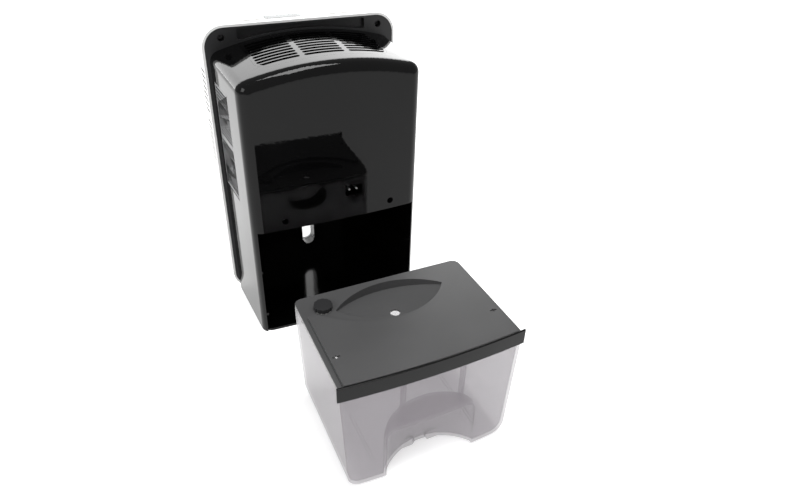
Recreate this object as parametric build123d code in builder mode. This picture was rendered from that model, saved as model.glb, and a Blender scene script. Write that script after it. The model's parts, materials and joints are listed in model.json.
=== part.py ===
import os
from math import sqrt

from build123d import *

os.makedirs("parts", exist_ok=True)

# Dehumidifier with its water tank drawn out behind it. Millimetres. X across, the white front
# cover faces -Y, Z up. The origin is on the underside, at the middle of the main body's depth.

# Main body
width = 222.0
height = 340.0
cover_depth = 45.0
cover_corner = 24.0
cover_edge = 6.0
cover_wall = 2.5
flange_side = 12.5  # how far the front cover stands out past each side of the rear housing
body_depth = 101.0
body_wall = 2.5
body_corner = 13.0
body_edge = 13.0
side_draft = 6.0  # how much further out each side stands at the front cover than at the back
top_draft = 6.0  # how much higher the crown stands at the front cover than at the back
shoulder_drop = 33.0  # from the cover's top down to the rear housing's side edges
crown_rise = 15.0
rear_bulge = 3.5
frame_thickness = 3.0
fit_gap = 0.1  # between fixed pieces that fit in one another

# Tank bay
bay_height = 141.0
bay_floor = 3.2
bay_wall = 2.0
bay_depth = 129.0
rail_height = 3.0
low_rail_z = 16.0
low_rail_reach = 5.0
high_rail_z = 78.0
high_rail_reach = 3.5
foot_radius = 8.0
foot_thickness = 1.5
foot_inset = 14.0

# Water tank
tank_out = 240.0  # how far the tank is drawn out
tank_side_gap = 4.0
tank_end_gap = 3.0
tank_floor_gap = 0.4
tank_top_gap = 5.0
tank_wall = 2.0
tank_taper = 6.5
tank_corner = 14.0
tank_back_corner = 8.0
face_bulge = 4.0
trim_height = 16.0
trim_thickness = 2.2
trim_gap = 2.0
lid_wall = 2.0
lid_step = 3.6
lid_seal_height = 0.75
lid_margin = 5.0
lid_clearance = 0.3
rest_gap = 0.05
skirt_depth = 6.0
skirt_gap = 0.9
step_side = 94.0  # distance of the lid's step from the tank's face, at the sides
step_middle = 59.0
bowl_half = 57.0
bowl_front = 66.0
bowl_tip = 96.0
bowl_back = 119.0
bowl_depth = 12.0
bowl_tip_wall = 8.0  # how far past its tips the bowl's round floor would reach the lid
drain_radius = 5.0
drain_from_face = 84.0
cap_x = 67.0
cap_from_face = 103.0
cap_radius = 9.0
cap_height = 5.5
cap_seal_height = 0.8
plug_radius = 6.4
plug_length = 8.0
plug_clearance = 0.4
grip_half = 46.0
grip_height = 59.0
grip_depth = 22.0
grip_round = 10.0
float_x = -72.0
float_from_face = 108.0
float_radius = 9.6
float_height = 14.0
float_clearance = 0.4
float_rise = 28.0
cage_wall = 1.5
magnet_radius = 4.0
magnet_height = 3.0

# Outlet grille
grille_half = 72.5
grille_setback = 3.0
grille_rear_margin = 19.0
grille_corner = 20.0
grille_thickness = 5.0
grille_lip = 3.0
slat_pitch = 7.3
slot_width = 5.0
divider = 5.0

# Intake windows in the housing's sides
window_width = 50.0
window_setback = 6.0
window_rise = 18.0
window_top_gap = 3.0
intake_bar = 4.0
intake_pitch = 4.0
intake_slot = 2.6
intake_border = 2.5
filter_thickness = 2.0

# Sight window for the water level
sight_length = 86.0
sight_width = 16.5
sight_z = 70.0
tunnel_wall = 3.0
sight_lip = 1.0
sight_lip_thickness = 1.5

# Rear panel
dish_x = 36.0
dish_z = 177.0
dish_width = 45.0
dish_height = 30.0
dish_depth = 8.0
inlet_x = -17.7
inlet_z = 175.0
inlet_width = 24.5
inlet_height = 18.0
inlet_round = 3.5
inlet_length = 15.0
inlet_flange = 2.75
pin_pitch = 8.6
pin_radius = 1.2
pin_recess = 2.5
rear_screw_x = 63.0
rear_screw_z = 151.5
screw_recess_radius = 3.75
screw_recess_depth = 9.0
screw_radius = 1.4
screw_hole = 1.6
screw_head = 3.4
screw_head_height = 2.2
screw_length = 14.0
boss_wall = 1.8
boss_floor = 2.0

# Grip recess and frame screws
grip_recess_half = 73.0
grip_recess_low = 16.5  # below the cover's top
grip_recess_high = 4.5
grip_recess_depth = 5.0
flange_screw_x = 90.0
flange_screw_drop = 13.0

# Controls in the cover's top
control_from_joint = 17.0
control_length = 14.0
control_round = 3.0
power_x, power_width = 54.0, 24.0
display_x, display_width = 18.0, 42.0
mode_x, mode_width = -47.0, 36.0
button_gap = 0.3
button_travel = 1.0
button_lip = 1.2
button_proud = 0.5
board_drop = 7.4
board_thickness = 1.6
switch_height = 1.0
switch_size = 6.0

# Cooling module
fan_size = 80.0
fan_height = 20.0
fan_bore = 37.5
fan_y = 13.0
fan_rise = 2.5  # the fan's top above the side edges of the housing
hub_radius = 12.0
hub_height = 13.0
fan_shaft = 1.5
running_clearance = 0.06
blade_count = 7
blade_reach = 36.0
blade_chord = 16.0
blade_thickness = 1.4
blade_pitch_angle = 35.0
fan_mount = 3.5
shelf_thickness = 2.5
bulkhead_y = 6.0
bulkhead_thickness = 4.0
peltier_size = 40.0
gasket_size = 62.0
gasket_fit = 0.2
hot_width = 100.0
hot_base = 6.0
hot_fin = 30.0
cold_width = 90.0
cold_base = 5.0
cold_fin = 26.0
fin_pitch = 7.0
fin_thickness = 1.5
sink_gap = 9.0
tray_height = 13.0
tray_half = 52.0
tray_wall = 2.0
spout_y = -16.0
spout_radius = 6.0
spout_bore = 4.0
spout_drop = 3.5

# Positions that follow from the sizes above
front_y = -(cover_depth + body_depth) / 2
joint_y = front_y + cover_depth
rear_y = joint_y + body_depth
body_width = width - 2 * flange_side
shoulder_z = height - shoulder_drop
housing_half = body_width / 2 - body_wall
bay_half = housing_half - bay_wall
bay_front = rear_y - bay_depth
liner_top = bay_height + bay_wall
crown_radius = ((body_width / 2) ** 2 + crown_rise**2) / (2 * crown_rise)
crown_centre = shoulder_z + crown_rise - crown_radius
side_slope = side_draft / body_depth
top_slope = top_draft / body_depth
cover_inner_y = front_y + cover_wall
cover_inner_top = height - cover_wall
fan_top = shoulder_z + fan_rise
shelf_top = fan_top - fan_height
shelf_low = shelf_top - shelf_thickness
face_y = rear_y + tank_out
tank_depth = bay_depth - tank_end_gap
tank_back = face_y - tank_depth
tank_base = bay_floor + tank_floor_gap
lid_top = bay_height - tank_top_gap
lid_plate_top = lid_top - lid_step
lid_low = lid_plate_top - lid_wall
rim_z = lid_low - lid_seal_height - rest_gap
rim_half = bay_half - tank_side_gap
base_half = rim_half - tank_taper


def facing(y):
    # an upright plane across the body at this Y; extruding from it goes towards the front
    return Plane.XZ.offset(-y)


def write(piece, name):
    piece.part.label = name
    export_step(piece.part, f"parts/{name}.step")


# ---------------------------------------------------------------- main shells


def cover_block(inset):
    with BuildPart() as block:
        with BuildSketch(facing(joint_y)):
            with Locations((0, height / 2)):
                RectangleRounded(width - 2 * inset, height - 2 * inset, cover_corner - inset)
        extrude(amount=cover_depth - inset)
        fillet(block.faces().sort_by(Axis.Y)[0].edges(), cover_edge - inset)
    return block.part


def crown_edge(depth, half):
    # height of the crown's surface, lowered by depth, this far from the middle
    return crown_centre + sqrt((crown_radius - depth) ** 2 - half**2)


def side_at(y, inset):
    # half the housing's width at this Y, taken in by inset from its drafted side
    return body_width / 2 + side_slope * (rear_y - y) - inset * sqrt(1 + side_slope**2)


def crown_lift(y):
    # how much the drafted crown has risen at this Y
    return top_slope * (rear_y - y)


def housing_block(inset, front, bottom):
    back = rear_y - inset
    rear_half = side_at(back, inset)
    front_half = side_at(front, inset)
    reach = front_half + 5
    far = back + 2 * rear_bulge
    with BuildPart() as block:
        with BuildSketch(Plane.XY.offset(bottom)):
            with BuildLine():
                Polyline((-rear_half, back), (-front_half, front), (front_half, front), (rear_half, back))
                ThreePointArc((rear_half, back), (0, back + rear_bulge), (-rear_half, back))
            make_face()
        extrude(amount=height)
        fillet(block.edges().filter_by(Axis.Z).sort_by(Axis.Y)[-2:], body_corner - inset)
        with BuildSketch(facing(far)):
            with BuildLine():
                end = crown_edge(inset, reach) + crown_lift(far)
                low = bottom - 2 * top_draft
                Polyline((-reach, end), (-reach, low), (reach, low), (reach, end))
                ThreePointArc((reach, end), (0, crown_edge(inset, 0) + crown_lift(far)), (-reach, end))
            make_face()
        extrude(amount=(far - front) * sqrt(1 + top_slope**2), dir=(0, -1, top_slope), mode=Mode.INTERSECT)
        top = block.faces().sort_by(Axis.Z)[-1]
        fillet(top.edges().filter_by(lambda e: e.center().Y > front + 1), body_edge - inset)
    return block.part


control_y = joint_y - control_from_joint
louvre_length = 22.0
louvre_height = 3.0
louvre_pitch = 6.5
louvre_count = 8
louvre_split = 237.0
louvre_group_gap = 8.0
board_top = cover_inner_top - board_drop + board_thickness
board_post_x = (71.0, -71.5, -16.5)
board_post_radius = 2.5
flange_screw_z = height - flange_screw_drop
flange_seat_y = joint_y - screw_recess_depth
flange_boss_y = flange_seat_y - boss_floor
post_radius = 4.0
chip_board_x, chip_board_z = -50.0, height - 100
chip_board_width, chip_board_height = 60.0, 90.0
chip_post_length = 4.5
chip_post_inset = 5.0


def control_window(x, length, grow):
    # rounded window in the cover's top for a button or the display
    with Locations((x, control_y)):
        RectangleRounded(length + 2 * grow, control_length + 2 * grow, control_round)


with BuildPart() as front_cover:
    add(cover_block(0))
    add(cover_block(cover_wall), mode=Mode.SUBTRACT)
    # room for the tank bay's floor
    with BuildSketch(Plane.XY.offset(-1)):
        with Locations((0, (bay_front - bay_wall + joint_y) / 2)):
            Rectangle(2 * housing_half, joint_y - bay_front + bay_wall)
    extrude(amount=cover_corner, mode=Mode.SUBTRACT)
    # sight window
    with BuildSketch(facing(cover_inner_y + 1)):
        with Locations((0, sight_z)):
            SlotOverall(sight_length, sight_width, rotation=90)
    extrude(amount=cover_wall + 2, mode=Mode.SUBTRACT)
    # louvres in both side walls, in two groups
    group_shift = (louvre_count * louvre_pitch + louvre_group_gap) / 2
    with BuildSketch(Plane.YZ):
        for group in (louvre_split - group_shift, louvre_split + group_shift):
            with Locations((joint_y - frame_thickness - 2 - louvre_length / 2, group)):
                with GridLocations(1, louvre_pitch, 1, louvre_count):
                    SlotOverall(louvre_length, louvre_height)
    extrude(amount=width / 2 + 1, both=True, mode=Mode.SUBTRACT)
    # windows for the controls
    with BuildSketch(Plane.XY.offset(cover_inner_top - 1)):
        control_window(power_x, power_width, button_gap)
        control_window(display_x, display_width, fit_gap)
        control_window(mode_x, mode_width, button_gap)
    extrude(amount=cover_wall + 2, mode=Mode.SUBTRACT)
    # posts that the back frame is screwed to
    with BuildSketch(facing(flange_boss_y)):
        with Locations((-flange_screw_x, flange_screw_z), (flange_screw_x, flange_screw_z)):
            Circle(post_radius)
    extrude(amount=flange_boss_y - cover_inner_y)
    with BuildSketch(facing(flange_boss_y)):
        with Locations((-flange_screw_x, flange_screw_z), (flange_screw_x, flange_screw_z)):
            Circle(screw_hole)
    extrude(amount=screw_length, mode=Mode.SUBTRACT)
    # posts under the top wall for the button board
    with BuildSketch(Plane.XY.offset(board_top)):
        with Locations(*[(x, control_y) for x in board_post_x]):
            Circle(board_post_radius)
    extrude(amount=cover_inner_top - board_top)
    # posts behind the front wall for the control board
    with BuildSketch(facing(cover_inner_y + chip_post_length)):
        with Locations((chip_board_x, chip_board_z)):
            with GridLocations(
                chip_board_width - 2 * chip_post_inset, chip_board_height - 2 * chip_post_inset, 2, 2
            ):
                Circle(board_post_radius)
    extrude(amount=chip_post_length)
write(front_cover, "front_cover")

frame_wall = 2.0
recess_low = height - grip_recess_low
recess_high = height - grip_recess_high
frame_front = joint_y - frame_thickness
opening_half = housing_half - 4
opening_top = shoulder_z - 7

with BuildPart() as back_frame:
    with BuildSketch(facing(joint_y)):
        with Locations((0, height / 2)):
            RectangleRounded(
                width - 2 * cover_wall - 2 * fit_gap,
                height - 2 * cover_wall - 2 * fit_gap,
                cover_corner - cover_wall - fit_gap,
            )
        with Locations((0, liner_top / 2)):
            Rectangle(2 * housing_half, liner_top, mode=Mode.SUBTRACT)
        with Locations((0, (liner_top + opening_top) / 2)):
            Rectangle(2 * opening_half, opening_top - liner_top + 2, mode=Mode.SUBTRACT)
    extrude(amount=frame_thickness)
    # shallow finger recess under the cover's top edge
    with BuildSketch(facing(frame_front)):
        with Locations((0, (recess_low + recess_high) / 2)):
            Rectangle(2 * (grip_recess_half + frame_wall), recess_high - recess_low + 2 * frame_wall)
    extrude(amount=grip_recess_depth - frame_thickness + frame_wall)
    with BuildSketch(facing(joint_y)):
        with Locations((0, (recess_low + recess_high) / 2)):
            RectangleRounded(2 * grip_recess_half, recess_high - recess_low, frame_wall)
        with Locations((0, crown_centre + crown_lift(joint_y))):
            Circle(crown_radius + frame_wall, mode=Mode.SUBTRACT)
    extrude(amount=grip_recess_depth, mode=Mode.SUBTRACT)
    # screw wells
    with BuildSketch(facing(frame_front)):
        with Locations((-flange_screw_x, flange_screw_z), (flange_screw_x, flange_screw_z)):
            Circle(screw_recess_radius + boss_wall)
    extrude(amount=frame_front - flange_boss_y)
    with BuildSketch(facing(joint_y)):
        with Locations((-flange_screw_x, flange_screw_z), (flange_screw_x, flange_screw_z)):
            Circle(screw_recess_radius)
    extrude(amount=screw_recess_depth, mode=Mode.SUBTRACT)
    with BuildSketch(facing(flange_seat_y)):
        with Locations((-flange_screw_x, flange_screw_z), (flange_screw_x, flange_screw_z)):
            Circle(screw_hole)
    extrude(amount=boss_floor, mode=Mode.SUBTRACT)
write(back_frame, "back_frame")


def screws(places, seat_y, head_sign):
    # round-headed screws along Y; their heads are on the side that head_sign points to
    with BuildPart() as group:
        with BuildSketch(facing(seat_y)):
            with Locations(*places):
                Circle(screw_head)
        extrude(amount=-head_sign * screw_head_height)
        dome = group.faces().sort_by(Axis.Y)[-1 if head_sign > 0 else 0]
        rims = group.edges().filter_by(GeomType.CIRCLE).filter_by(
            lambda e: abs(e.center().Y - dome.center().Y) < 0.01
        )
        fillet(rims, screw_head_height / 3)
        with BuildSketch(facing(seat_y + head_sign * screw_head_height)):
            with Locations(*places):
                Rectangle(screw_head, 0.8)
                Rectangle(0.8, screw_head)
        extrude(amount=head_sign * screw_head_height / 2, mode=Mode.SUBTRACT)
        with BuildSketch(facing(seat_y)):
            with Locations(*places):
                Circle(screw_radius)
        extrude(amount=head_sign * (screw_length - 2))
    return group


flange_places = [(-flange_screw_x, flange_screw_z), (flange_screw_x, flange_screw_z)]
write(screws(flange_places, flange_seat_y, 1), "flange_screws")

grille_front = joint_y + grille_setback
grille_back = rear_y - grille_rear_margin
grille_plane = Plane.XY.offset(shoulder_z - 2 * crown_rise)


def side_plane(side, inset):
    # plane this far inside the drafted side wall, at the middle of the intake window, facing outwards
    wall = Plane(
        origin=(side * side_at(window_y, 0), window_y, window_z),
        x_dir=(-side * side_slope, 1, 0),
        z_dir=(side, side_slope, 0),
    )
    return wall.offset(-inset)


def grille_outline(grow):
    with BuildSketch() as outline:
        with Locations((0, (grille_front + grille_back) / 2)):
            Rectangle(2 * (grille_half + grow), grille_back - grille_front + 2 * grow)
        fillet(outline.vertices().group_by(Axis.Y)[-1], grille_corner + grow)
    return outline.sketch


window_low = liner_top + window_rise
window_high = shelf_low - window_top_gap
window_y = joint_y + window_setback + window_width / 2
window_z = (window_low + window_high) / 2
window_height = window_high - window_low
rear_mid_y = rear_y + rear_bulge / 2
rear_far_y = rear_y + 2 * rear_bulge
boss_y = rear_y - screw_recess_depth - boss_floor
rear_places = [(-rear_screw_x, rear_screw_z), (rear_screw_x, rear_screw_z)]
inlet_pad_y = rear_y - body_wall - 0.5

with BuildPart() as rear_housing:
    add(housing_block(0, joint_y, 0))
    add(housing_block(body_wall, joint_y - 1, -1), mode=Mode.SUBTRACT)
    # the bay's mouth
    with BuildSketch(facing(rear_far_y)):
        with Locations((0, bay_height / 2 - 1)):
            Rectangle(2 * bay_half, bay_height + 2)
    extrude(amount=body_corner + 3 * rear_bulge, mode=Mode.SUBTRACT)
    # outlet opening in the crown
    with BuildSketch(grille_plane):
        add(grille_outline(0))
    extrude(amount=4 * crown_rise, mode=Mode.SUBTRACT)
    # intake windows in both sides
    for side in (-1, 1):
        with BuildSketch(side_plane(side, 0)):
            Rectangle(window_width, window_height)
        extrude(amount=2 * body_wall, both=True, mode=Mode.SUBTRACT)
    # oval dish, inlet seat and screw wells on the rear panel
    with BuildSketch(facing(rear_mid_y)):
        with Locations((dish_x, dish_z)):
            Ellipse(dish_width / 2 + body_wall, dish_height / 2 + body_wall)
    extrude(amount=rear_mid_y - rear_y + dish_depth + body_wall)
    with BuildSketch(facing(rear_mid_y)):
        with Locations((inlet_x, inlet_z)):
            RectangleRounded(
                inlet_width + 2 * inlet_flange, inlet_height + 2 * inlet_flange, inlet_round
            )
    extrude(amount=rear_mid_y - inlet_pad_y)
    with BuildSketch(facing(rear_mid_y)):
        with Locations(*rear_places):
            Circle(screw_recess_radius + boss_wall)
    extrude(amount=rear_mid_y - boss_y)
    with BuildSketch(facing(rear_far_y)):
        with Locations((dish_x, dish_z)):
            Ellipse(dish_width / 2, dish_height / 2)
    extrude(amount=rear_far_y - rear_y + dish_depth, mode=Mode.SUBTRACT)
    with BuildSketch(facing(rear_far_y)):
        with Locations((inlet_x, inlet_z)):
            RectangleRounded(inlet_width, inlet_height, inlet_round)
    extrude(amount=rear_far_y - inlet_pad_y, mode=Mode.SUBTRACT)
    with BuildSketch(facing(rear_far_y)):
        with Locations(*rear_places):
            Circle(screw_recess_radius)
    extrude(amount=rear_far_y - boss_y - boss_floor, mode=Mode.SUBTRACT)
    with BuildSketch(facing(boss_y + boss_floor)):
        with Locations(*rear_places):
            Circle(screw_hole)
    extrude(amount=boss_floor, mode=Mode.SUBTRACT)
write(rear_housing, "rear_housing")
write(screws(rear_places, boss_y + boss_floor, 1), "rear_screws")


def crown_band(top, bottom):
    # a slab that follows the crown, between two depths below its surface
    reach = grille_half + 2 * grille_lip
    with BuildPart() as band:
        with BuildSketch(facing(rear_y)):
            with BuildLine():
                high = crown_edge(top, reach)
                low = crown_edge(bottom, reach)
                ThreePointArc((-reach, high), (0, crown_edge(top, 0)), (reach, high))
                Line((reach, high), (reach, low))
                ThreePointArc((reach, low), (0, crown_edge(bottom, 0)), (-reach, low))
                Line((-reach, low), (-reach, high))
            make_face()
        extrude(amount=body_depth * sqrt(1 + top_slope**2), dir=(0, -1, top_slope))
    return band.part


with BuildPart() as grille_rim:
    with BuildSketch(grille_plane):
        add(grille_outline(grille_lip - fit_gap))
    extrude(amount=4 * crown_rise)
    add(crown_band(body_wall + fit_gap / 2, grille_thickness), mode=Mode.INTERSECT)

slot_rows = int((grille_back - grille_front - slat_pitch) // slat_pitch)
section = (2 * (grille_half - grille_lip) - 2 * divider) / 3

with BuildPart() as outlet_grille:
    with BuildSketch(grille_plane):
        add(grille_outline(-fit_gap))
    extrude(amount=4 * crown_rise)
    add(crown_band(0, grille_thickness), mode=Mode.INTERSECT)
    add(grille_rim.part)
    with BuildSketch(grille_plane):
        with Locations((0, (grille_front + grille_back) / 2)):
            with GridLocations(section + divider, slat_pitch, 3, slot_rows):
                SlotOverall(section, slot_width)
        add(grille_outline(-grille_lip), mode=Mode.INTERSECT)
    extrude(amount=4 * crown_rise, mode=Mode.SUBTRACT)
write(outlet_grille, "outlet_grille")

intake_flange = 1.5
half_window = (window_height - intake_bar) / 2 - intake_border
intake_rows = int(half_window // intake_pitch)


def intake_grille(side):
    with BuildPart() as grille:
        with BuildSketch(side_plane(side, body_wall)):
            Rectangle(window_width - 2 * fit_gap, window_height - 2 * fit_gap)
        extrude(amount=body_wall - 0.5)
        with BuildSketch(side_plane(side, body_wall)):
            Rectangle(window_width + 2 * intake_flange, window_height + 2 * intake_flange)
        extrude(amount=-intake_flange)
        with BuildSketch(side_plane(side, body_wall + intake_flange + 1)):
            for way in (-1, 1):
                with Locations((0, way * (intake_bar / 2 + half_window / 2))):
                    with GridLocations(1, intake_pitch, 1, intake_rows):
                        Rectangle(window_width - 2 * intake_border, intake_slot)
        extrude(amount=body_wall + intake_flange + 2, mode=Mode.SUBTRACT)
    return grille


def dust_filter(side):
    with BuildPart() as panel:
        with BuildSketch(side_plane(side, body_wall + intake_flange)):
            RectangleRounded(window_width, window_height, intake_border)
        extrude(amount=-filter_thickness)
    return panel


for side, hand in ((1, "right"), (-1, "left")):
    write(intake_grille(side), f"intake_grille_{hand}")
    write(dust_filter(side), f"dust_filter_{hand}")

# ---------------------------------------------------------------- tank bay

power_board_x = -(housing_half - 24)
power_board_y = 32.0
power_board_width = 34.0
power_board_length = 34.0
power_post_height = 4.0
power_post_inset = 3.5
screw_post = 10.0
mouth_y = rear_y + 2 * rear_bulge

with BuildPart() as tank_bay:
    with BuildSketch(Plane.XY):
        with Locations((0, (bay_front - bay_wall + mouth_y) / 2)):
            Rectangle(2 * housing_half, mouth_y - bay_front + bay_wall)
    extrude(amount=liner_top)
    # its floor and ceiling reach out to the housing's drafted sides
    for level, thick in ((0, bay_floor), (bay_height, bay_wall)):
        with BuildSketch(Plane.XY.offset(level)):
            with Locations((0, (joint_y + mouth_y) / 2)):
                Rectangle(width, mouth_y - joint_y)
        extrude(amount=thick)
    add(housing_block(body_wall, bay_front - bay_wall - 1, -1), mode=Mode.INTERSECT)
    with BuildSketch(Plane.XY.offset(bay_floor)):
        with Locations((0, (bay_front + mouth_y) / 2)):
            Rectangle(2 * bay_half, mouth_y - bay_front)
    extrude(amount=bay_height - bay_floor, mode=Mode.SUBTRACT)
    # guide rails along both side walls
    for side in (-1, 1):
        for level, reach in ((low_rail_z, low_rail_reach), (high_rail_z, high_rail_reach)):
            with BuildSketch(Plane.XY.offset(level)):
                with Locations((side * (bay_half - reach / 2), (bay_front + rear_y) / 2)):
                    Rectangle(reach, bay_depth - 2 * body_corner)
            extrude(amount=rail_height)
    # sight window
    with BuildSketch(facing(bay_front)):
        with Locations((0, sight_z)):
            SlotOverall(sight_length, sight_width, rotation=90)
    extrude(amount=bay_wall, mode=Mode.SUBTRACT)
    # spout hole in the ceiling
    with BuildSketch(Plane.XY.offset(bay_height)):
        with Locations((0, spout_y)):
            Circle(spout_radius + button_gap)
    extrude(amount=bay_wall, mode=Mode.SUBTRACT)
    # recesses for the feet
    with BuildSketch(Plane.XY):
        with Locations((0, (bay_front + rear_y) / 2)):
            with GridLocations(2 * (bay_half - foot_inset), bay_depth - 2 * foot_inset, 2, 2):
                Circle(foot_radius + fit_gap)
    extrude(amount=foot_thickness, mode=Mode.SUBTRACT)
    # posts on the ceiling, behind the rear screws and under the power board
    for x in (-rear_screw_x, rear_screw_x):
        with BuildSketch(Plane.XY.offset(liner_top)):
            with Locations((x, boss_y - screw_post / 2)):
                Rectangle(screw_post, screw_post)
        extrude(amount=rear_screw_z - liner_top + screw_post / 2)
    with BuildSketch(facing(boss_y)):
        with Locations(*rear_places):
            Circle(screw_hole)
    extrude(amount=screw_post, mode=Mode.SUBTRACT)
    with BuildSketch(Plane.XY.offset(liner_top)):
        with Locations((power_board_x, power_board_y)):
            with GridLocations(
                power_board_width - 2 * power_post_inset, power_board_length - 2 * power_post_inset, 2, 2
            ):
                Circle(board_post_radius)
    extrude(amount=power_post_height)
write(tank_bay, "tank_bay")

with BuildPart() as foot_pads:
    with BuildSketch(Plane.XY):
        with Locations((0, (bay_front + rear_y) / 2)):
            with GridLocations(2 * (bay_half - foot_inset), bay_depth - 2 * foot_inset, 2, 2):
                Circle(foot_radius)
    extrude(amount=foot_thickness)
write(foot_pads, "foot_pads")

with BuildPart() as window_tunnel:
    with BuildSketch(facing(bay_front - bay_wall)):
        with Locations((0, sight_z)):
            SlotOverall(sight_length + 2 * tunnel_wall, sight_width + 2 * tunnel_wall, rotation=90)
            SlotOverall(sight_length, sight_width, rotation=90, mode=Mode.SUBTRACT)
    extrude(amount=bay_front - bay_wall - cover_inner_y)
    with BuildSketch(facing(cover_inner_y + sight_lip_thickness)):
        with Locations((0, sight_z)):
            SlotOverall(
                sight_length + 2 * (sight_lip + fit_gap),
                sight_width + 2 * (sight_lip + fit_gap),
                rotation=90,
            )
    extrude(amount=sight_lip_thickness, mode=Mode.SUBTRACT)
write(window_tunnel, "window_tunnel")

with BuildPart() as level_window:
    with BuildSketch(facing(cover_inner_y + sight_lip_thickness)):
        with Locations((0, sight_z)):
            SlotOverall(sight_length + 2 * sight_lip, sight_width + 2 * sight_lip, rotation=90)
    extrude(amount=sight_lip_thickness)
    with BuildSketch(facing(cover_inner_y)):
        with Locations((0, sight_z)):
            SlotOverall(sight_length - 2 * fit_gap, sight_width - 2 * fit_gap, rotation=90)
    extrude(amount=cover_wall)
write(level_window, "level_window")

# ---------------------------------------------------------------- power inlet

inlet_back_y = inlet_pad_y - inlet_length
socket_width = 20.5
socket_height = 13.5
socket_round = 2.5
socket_floor = 2.5
inlet_face_y = rear_y + rear_bulge - 0.6

with BuildPart() as inlet_socket:
    with BuildSketch(facing(inlet_face_y)):
        with Locations((inlet_x, inlet_z)):
            RectangleRounded(inlet_width - 2 * fit_gap, inlet_height - 2 * fit_gap, inlet_round - fit_gap)
    extrude(amount=inlet_face_y - inlet_back_y)
    with BuildSketch(facing(inlet_pad_y)):
        with Locations((inlet_x, inlet_z)):
            RectangleRounded(
                inlet_width + 2 * inlet_flange, inlet_height + 2 * inlet_flange, inlet_round
            )
    extrude(amount=2)
    with BuildSketch(facing(inlet_face_y)):
        with Locations((inlet_x, inlet_z)):
            RectangleRounded(socket_width, socket_height, socket_round)
    extrude(amount=inlet_face_y - inlet_back_y - socket_floor, mode=Mode.SUBTRACT)
    with BuildSketch(facing(inlet_back_y + socket_floor)):
        with Locations((inlet_x, inlet_z)):
            with GridLocations(pin_pitch, 1, 2, 1):
                Circle(pin_radius + running_clearance)
    extrude(amount=socket_floor, mode=Mode.SUBTRACT)
write(inlet_socket, "inlet_socket")

with BuildPart() as inlet_pins:
    with BuildSketch(facing(inlet_face_y - pin_recess)):
        with Locations((inlet_x, inlet_z)):
            with GridLocations(pin_pitch, 1, 2, 1):
                Circle(pin_radius)
    extrude(amount=inlet_face_y - pin_recess - inlet_back_y + 3)
    tips = inlet_pins.faces().filter_by(Axis.Y).group_by(Axis.Y)[-1]
    chamfer(tips.edges(), 0.4)
    with BuildSketch(facing(inlet_back_y)):
        with Locations((inlet_x, inlet_z)):
            with GridLocations(pin_pitch, 1, 2, 1):
                Circle(2 * pin_radius)
    extrude(amount=1)
write(inlet_pins, "inlet_pins")

# ---------------------------------------------------------------- cooling module

bulkhead_back = bulkhead_y + bulkhead_thickness
filter_room = intake_flange + filter_thickness + 3 * fit_gap
sink_low = liner_top + tray_height + sink_gap
sink_high = shelf_low - sink_gap
sink_z = (sink_low + sink_high) / 2
sink_height = sink_high - sink_low
screw_column = 5.5 * fin_pitch
sink_screw_inset = 7.0
sink_screw_rows = sink_height - 2 * sink_screw_inset
sink_places = [
    (x, z)
    for x in (-screw_column, screw_column)
    for z in (sink_z - sink_screw_rows / 2, sink_z + sink_screw_rows / 2)
]

with BuildPart() as bulkhead:
    with BuildSketch(facing(bulkhead_back)):
        with Locations((0, (liner_top + shelf_low) / 2)):
            Rectangle(2 * side_at(bulkhead_back, body_wall), shelf_low - liner_top)
        for side in (-1, 1):
            with Locations((side * side_at(bulkhead_back, body_wall), window_z)):
                Rectangle(
                    2 * filter_room, window_height + 2 * (intake_flange + fit_gap), mode=Mode.SUBTRACT
                )
        with Locations((0, sink_z)):
            Rectangle(gasket_size, gasket_size, mode=Mode.SUBTRACT)
        with Locations(*sink_places):
            Circle(screw_hole, mode=Mode.SUBTRACT)
    extrude(amount=bulkhead_thickness)
write(bulkhead, "bulkhead")

with BuildPart() as insulation_gasket:
    with BuildSketch(facing(bulkhead_back)):
        with Locations((0, sink_z)):
            Rectangle(gasket_size, gasket_size)
            Rectangle(peltier_size + gasket_fit, peltier_size + gasket_fit, mode=Mode.SUBTRACT)
    extrude(amount=bulkhead_thickness)
write(insulation_gasket, "insulation_gasket")

with BuildPart() as peltier_module:
    with BuildSketch(facing(bulkhead_back)):
        with Locations((0, sink_z)):
            Rectangle(peltier_size, peltier_size)
    extrude(amount=bulkhead_thickness)
write(peltier_module, "peltier_module")


def heat_sink(face, towards, spread, base, fin):
    # plate and upright fins; towards is +1 for fins that reach to +Y
    count = 2 * int((spread / 2) // fin_pitch) + 1
    with BuildPart() as sink:
        with BuildSketch(facing(face)):
            with Locations((0, sink_z)):
                Rectangle(spread, sink_height)
        extrude(amount=-towards * base)
        with BuildSketch(facing(face + towards * base)):
            with Locations((0, sink_z)):
                with GridLocations(fin_pitch, 1, count, 1):
                    Rectangle(fin_thickness, sink_height)
        extrude(amount=-towards * fin)
    return sink


with BuildPart() as hot_heat_sink:
    add(heat_sink(bulkhead_back, 1, hot_width, hot_base, hot_fin).part)
    with BuildSketch(facing(bulkhead_back)):
        with Locations(*sink_places):
            Circle(screw_hole)
    extrude(amount=-(hot_base - 1), mode=Mode.SUBTRACT)
write(hot_heat_sink, "hot_heat_sink")

with BuildPart() as cold_heat_sink:
    add(heat_sink(bulkhead_y, -1, cold_width, cold_base, cold_fin).part)
    with BuildSketch(facing(bulkhead_y)):
        with Locations(*sink_places):
            Circle(screw_hole)
    extrude(amount=cold_base, mode=Mode.SUBTRACT)
write(cold_heat_sink, "cold_heat_sink")

sink_head = 2.4
sink_screw_length = cold_base + bulkhead_thickness + hot_base - 2

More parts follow.
